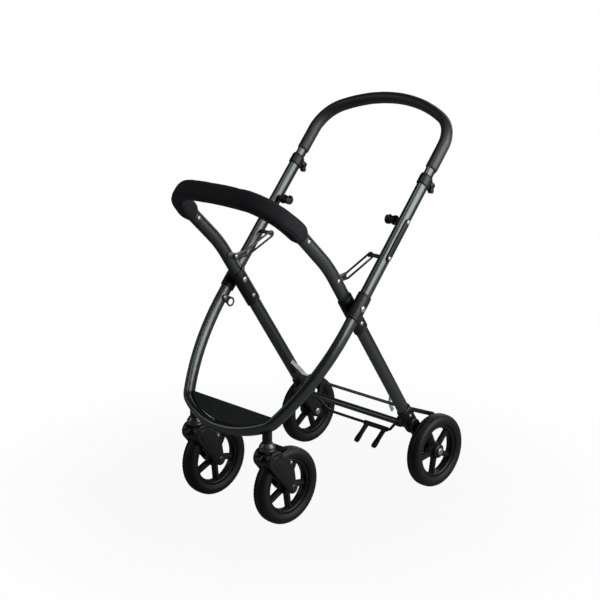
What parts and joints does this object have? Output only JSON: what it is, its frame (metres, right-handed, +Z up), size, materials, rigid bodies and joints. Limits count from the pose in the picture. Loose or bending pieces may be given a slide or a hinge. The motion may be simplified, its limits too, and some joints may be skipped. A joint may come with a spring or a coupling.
{
  "type": "stroller frame",
  "caption": "Folding stroller frame: crossed oval tubes, telescopic push handle with foam grip, padded bumper bar, footrest, swivelling front castors and braked rear wheels.",
  "frame": {"origin": "centre of the overall box on the floor", "axes": "+Z up, -Y towards the front of the stroller, +X to the right of a viewer standing in front of it"},
  "size_m": [0.493, 0.6593, 0.9797],
  "materials": {
    "frame_paint": "satin black powder coat",
    "plastic": "moulded black",
    "tyre": "solid foam tyre",
    "foam": "closed-cell foam",
    "pad": "padded woven cover",
    "panel": "fine texture",
    "strap": "woven tape",
    "steel": "blackened",
    "collar": "moulded charcoal"
  },
  "bodies": {
    "rear_frame": {"rear_leg_left": "frame_paint", "rear_leg_right": "frame_paint", "bumper_tube": "frame_paint", "bumper_pad": "pad", "rear_bracket_left": "plastic", "rear_bracket_right": "plastic", "rear_cross_bar": "frame_paint", "rear_cross_wire": "frame_paint", "rear_pivot_housing_left": "plastic", "rear_pivot_housing_right": "plastic", "link_ear_left": "steel", "link_ear_right": "steel", "latch_stud": "steel", "rear_axle_left": "steel", "rear_axle_right": "steel", "basket_strap_left": "strap", "basket_strap_right": "strap", "pivot_bolt_left": "steel", "pivot_bolt_right": "steel", "bumper_rivet_left": "steel", "bumper_rivet_right": "steel"},
    "front_frame": {"front_tube": "frame_paint", "footrest": "panel", "castor_socket_left": "plastic", "castor_socket_right": "plastic", "side_plate_left": "plastic", "side_plate_right": "plastic", "hook_stud_left": "plastic", "hook_stud_right": "plastic", "link_pin_left": "steel", "link_pin_right": "steel", "collar_left": "plastic", "collar_right": "plastic", "front_pivot_housing_left": "plastic", "front_pivot_housing_right": "plastic"},
    "handle": {"handle_tube": "frame_paint", "handle_grip": "foam"},
    "latch_hook": {"latch_hook": "steel"},
    "brake_bar": {"brake_bar": "plastic"},
    "castor_left": {"castor_fork_left": "plastic", "castor_collar_left": "collar", "front_axle_left": "steel"},
    "swivel_lock_left": {"swivel_lock_left": "plastic"},
    "front_wheel_left": {"front_wheel_left_rim": "plastic", "front_wheel_left_tyre": "tyre"},
    "rear_wheel_left": {"rear_wheel_left_rim": "plastic", "rear_wheel_left_tyre": "tyre"},
    "release_lever_left": {"release_lever_left": "plastic"},
    "link_left": {"link_left": "steel"},
    "castor_right": {"castor_fork_right": "plastic", "castor_collar_right": "collar", "front_axle_right": "steel"},
    "swivel_lock_right": {"swivel_lock_right": "plastic"},
    "front_wheel_right": {"front_wheel_right_rim": "plastic", "front_wheel_right_tyre": "tyre"},
    "rear_wheel_right": {"rear_wheel_right_rim": "plastic", "rear_wheel_right_tyre": "tyre"},
    "release_lever_right": {"release_lever_right": "plastic"},
    "link_right": {"link_right": "steel"}
  },
  "joints": [
    {"name": "fold", "type": "hinge", "parent": "rear_frame", "child": "front_frame", "pos_m": [0, -0.0591, 0.5205], "axis": [1, 0, 0], "range_deg": [0, 36]},
    {"name": "handle_slide", "type": "slide", "parent": "front_frame", "child": "handle", "axis": [0, 0.6396, 0.7687], "range_m": [0, 0.07]},
    {"name": "latch_hook_turn", "type": "hinge", "parent": "front_frame", "child": "latch_hook", "pos_m": [-0.20385, -0.09728, 0.47461], "axis": [1, 0, 0], "range_deg": [0, 40]},
    {"name": "brake_press", "type": "hinge", "parent": "rear_frame", "child": "brake_bar", "pos_m": [0, 0.1804, 0.1581], "axis": [-1, 0, 0], "range_deg": [0, 18]},
    {"name": "castor_left_swivel", "type": "hinge", "parent": "front_frame", "child": "castor_left", "pos_m": [-0.1275, -0.26756, 0.199], "axis": [0, 0, 1], "continuous": true},
    {"name": "swivel_lock_left_lift", "type": "hinge", "parent": "castor_left", "child": "swivel_lock_left", "pos_m": [-0.1275, -0.28156, 0.189], "axis": [-1, 0, 0], "range_deg": [0, 30]},
    {"name": "front_wheel_left_spin", "type": "hinge", "parent": "castor_left", "child": "front_wheel_left", "pos_m": [-0.1275, -0.20556, 0.095], "axis": [1, 0, 0], "continuous": true},
    {"name": "rear_wheel_left_spin", "type": "hinge", "parent": "rear_frame", "child": "rear_wheel_left", "pos_m": [-0.225, 0.23465, 0.095], "axis": [1, 0, 0], "continuous": true},
    {"name": "release_lever_left_pull", "type": "hinge", "parent": "front_frame", "child": "release_lever_left", "pos_m": [-0.216, 0.1928, 0.78183], "axis": [1, 0, 0], "range_deg": [0, 25], "stiffness_Nm_per_rad": 0.05, "springref_deg": -11.46},
    {"name": "link_left_swing", "type": "hinge", "parent": "rear_frame", "child": "link_left", "pos_m": [-0.17015, -0.08961, 0.58547], "axis": [1, 0, 0], "range_deg": [0, 45]},
    {"name": "castor_right_swivel", "type": "hinge", "parent": "front_frame", "child": "castor_right", "pos_m": [0.1275, -0.26756, 0.199], "axis": [0, 0, 1], "continuous": true},
    {"name": "swivel_lock_right_lift", "type": "hinge", "parent": "castor_right", "child": "swivel_lock_right", "pos_m": [0.1275, -0.28156, 0.189], "axis": [-1, 0, 0], "range_deg": [0, 30]},
    {"name": "front_wheel_right_spin", "type": "hinge", "parent": "castor_right", "child": "front_wheel_right", "pos_m": [0.1275, -0.20556, 0.095], "axis": [1, 0, 0], "continuous": true},
    {"name": "rear_wheel_right_spin", "type": "hinge", "parent": "rear_frame", "child": "rear_wheel_right", "pos_m": [0.225, 0.23465, 0.095], "axis": [1, 0, 0], "continuous": true},
    {"name": "release_lever_right_pull", "type": "hinge", "parent": "front_frame", "child": "release_lever_right", "pos_m": [0.216, 0.1928, 0.78183], "axis": [1, 0, 0], "range_deg": [0, 25], "stiffness_Nm_per_rad": 0.05, "springref_deg": -11.46},
    {"name": "link_right_swing", "type": "hinge", "parent": "rear_frame", "child": "link_right", "pos_m": [0.17015, -0.08961, 0.58547], "axis": [1, 0, 0], "range_deg": [0, 45]}
  ],
  "couplings": [
    {"joint": "link_left_swing", "follows": "fold", "ratio": 1.24},
    {"joint": "link_right_swing", "follows": "fold", "ratio": 1.24}
  ]
}
